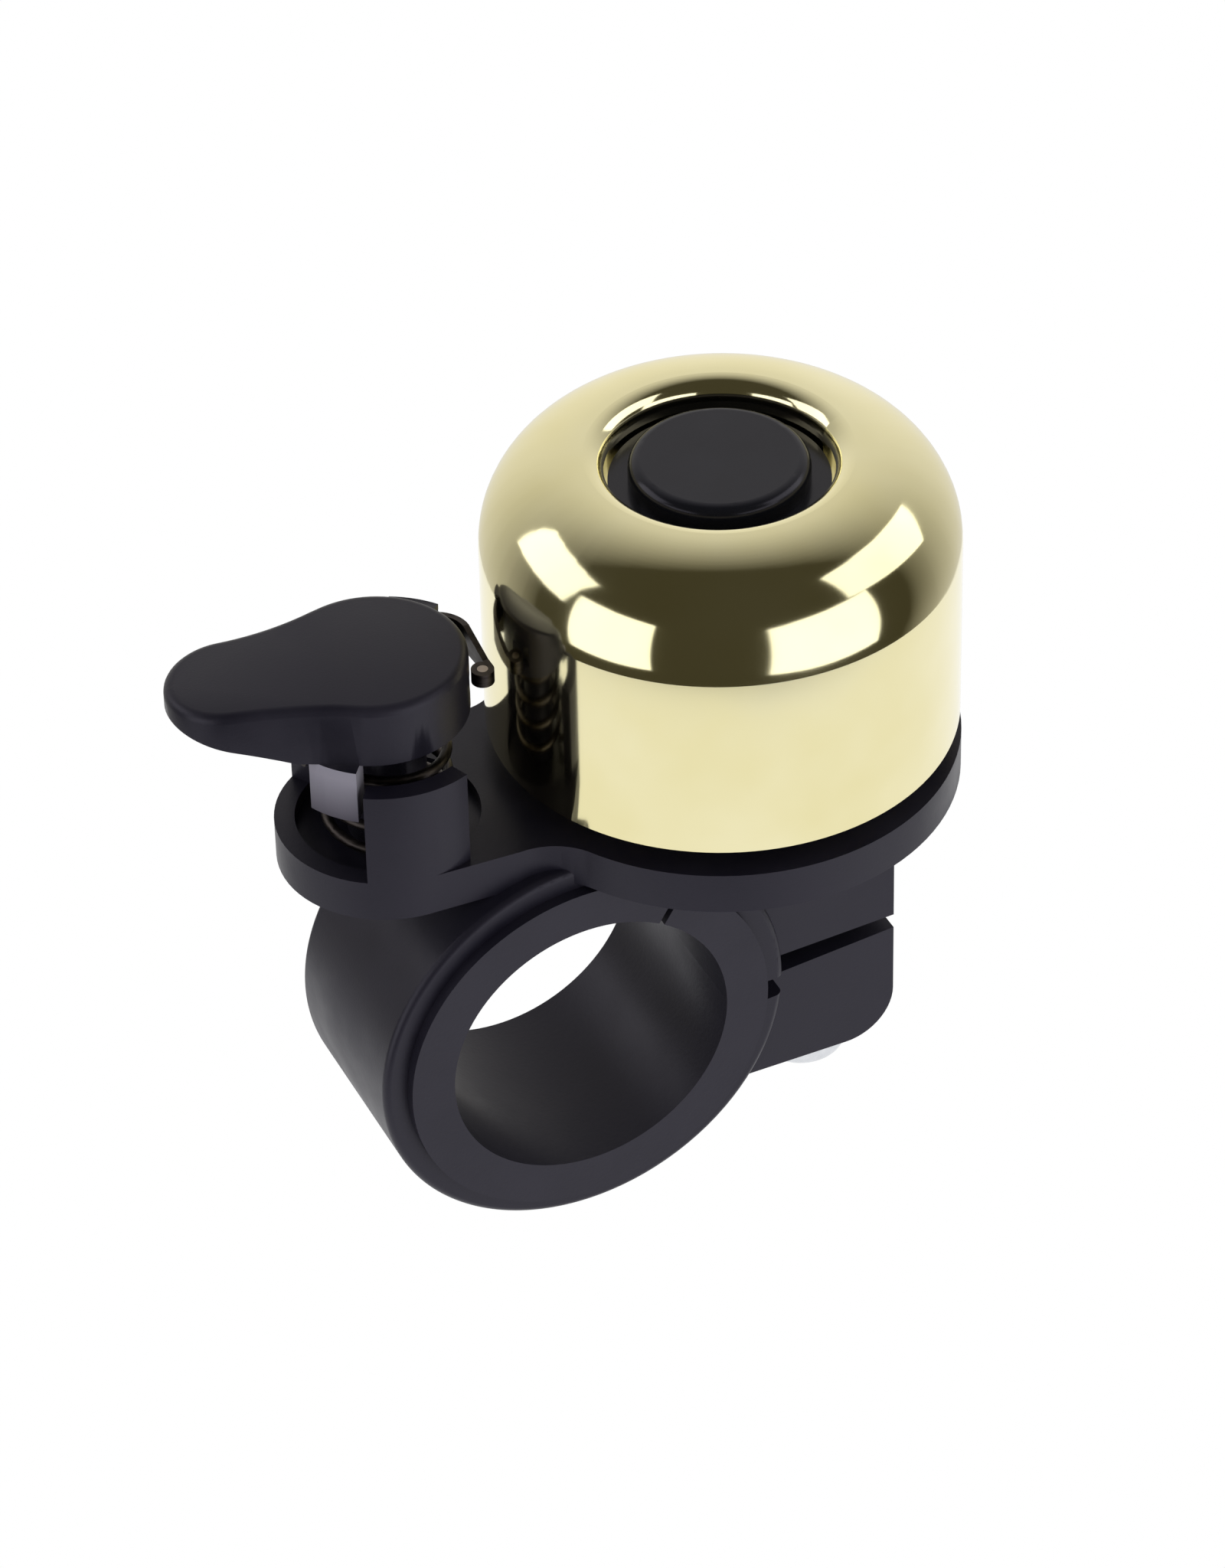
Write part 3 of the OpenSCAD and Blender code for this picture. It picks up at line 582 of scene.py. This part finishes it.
floor_material = bpy.data.materials.new("floor_white")
floor_material.use_nodes = True
ft = floor_material.node_tree
ft.nodes.clear()
floor_out = ft.nodes.new("ShaderNodeOutputMaterial")
floor_matt = ft.nodes.new("ShaderNodeBsdfDiffuse")
floor_matt.inputs["Color"].default_value = (0.86, 0.86, 0.86, 1)
floor_glow = ft.nodes.new("ShaderNodeEmission")
floor_glow.inputs["Strength"].default_value = 1
floor_mix = ft.nodes.new("ShaderNodeMixShader")
ft.links.new(seen_directly(ft), floor_mix.inputs["Fac"])
ft.links.new(floor_matt.outputs["BSDF"], floor_mix.inputs[1])
ft.links.new(floor_glow.outputs["Emission"], floor_mix.inputs[2])
ft.links.new(floor_mix.outputs["Shader"], floor_out.inputs["Surface"])

table_radius = 0.124
table_drop = 30 * MM
floor_z = cad_box[0][2] - table_drop
floor_mesh = bmesh.new()
bmesh.ops.create_circle(floor_mesh, cap_ends=True, radius=table_radius, segments=96)
bmesh.ops.translate(floor_mesh, verts=floor_mesh.verts, vec=(bell_x, bell_y, floor_z))
floor = new_piece("floor", floor_mesh, floor_material)
print("floor at", round(floor_z, 4))

# %% [markdown]
# Each lamp is a rectangular softbox aimed at the bell. A softbox is placed by its direction and
# sized by the angles it spans, so it is easy to move its reflection to the right place.

# %% Softboxes
aim = Vector((bell_x, bell_y, 25 * MM))
panel_distance = 0.7


def softbox(name, azimuth, elevation, across, tall, brightness, roll=0):
    """A panel that spans so many degrees across and up, and looks so bright in a mirror."""
    wide = 2 * panel_distance * tan(radians(across / 2))
    high = 2 * panel_distance * tan(radians(tall / 2))
    lamp = bpy.data.lights.new(name, "AREA")
    lamp.shape = "RECTANGLE"
    lamp.size = wide
    lamp.size_y = high
    lamp.energy = brightness * pi * wide * high
    holder = bpy.data.objects.new(name, lamp)
    bpy.context.scene.collection.objects.link(holder)
    place = aim + unit_direction(azimuth, elevation) * panel_distance
    facing = (place - aim).to_track_quat("Z", "Y").to_matrix().to_4x4()
    spin = Matrix.Rotation(radians(roll), 4, "Z")
    holder.matrix_world = Matrix.Translation(place) @ facing @ spin


softbox("window_left", azimuth=-76, elevation=1, across=39, tall=50, brightness=1.6)
softbox("window_right", azimuth=21.5, elevation=-1, across=52, tall=54, brightness=1.6)
softbox("side_left", azimuth=-120, elevation=27, across=38, tall=32, brightness=1.5)
softbox("side_right", azimuth=70, elevation=33, across=50, tall=30, brightness=1.5, roll=-24)
print("softboxes placed")

# %% Finish
bpy.context.scene.view_settings.view_transform = "Standard"
